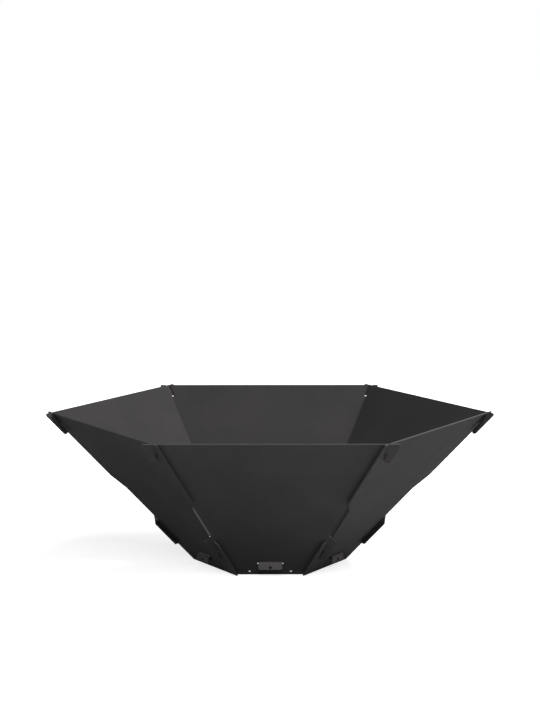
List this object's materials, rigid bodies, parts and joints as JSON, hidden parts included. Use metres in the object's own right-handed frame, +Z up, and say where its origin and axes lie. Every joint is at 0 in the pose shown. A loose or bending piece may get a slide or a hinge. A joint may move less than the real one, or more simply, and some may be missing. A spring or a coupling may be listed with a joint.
{
  "type": "fire pit",
  "caption": "Flat-pack hexagonal steel fire pit: outward-leaning panels locked by hook and slot laps round a tabbed base plate.",
  "frame": {"origin": "on the pit's vertical axis, on the ground that its lower edges stand on", "axes": "+Z up along the axis, +X to the right from corner to corner of the hexagon, -Y towards the front panel"},
  "size_m": [0.6118, 0.5396, 0.2077],
  "materials": {
    "hook_panel_steel": "heat-resistant coat, near black, even and matt",
    "slotted_panel_steel": "heat-resistant coat, near black, even and matt",
    "base_plate_steel": "heat-resistant coat, near black and matt, a little paler than the panels"
  },
  "bodies": {
    "root": {"front_panel": "hook_panel_steel", "back_left_panel": "hook_panel_steel", "back_right_panel": "hook_panel_steel", "front_left_panel": "slotted_panel_steel", "front_right_panel": "slotted_panel_steel", "back_panel": "slotted_panel_steel", "base_plate": "base_plate_steel"}
  },
  "joints": []
}
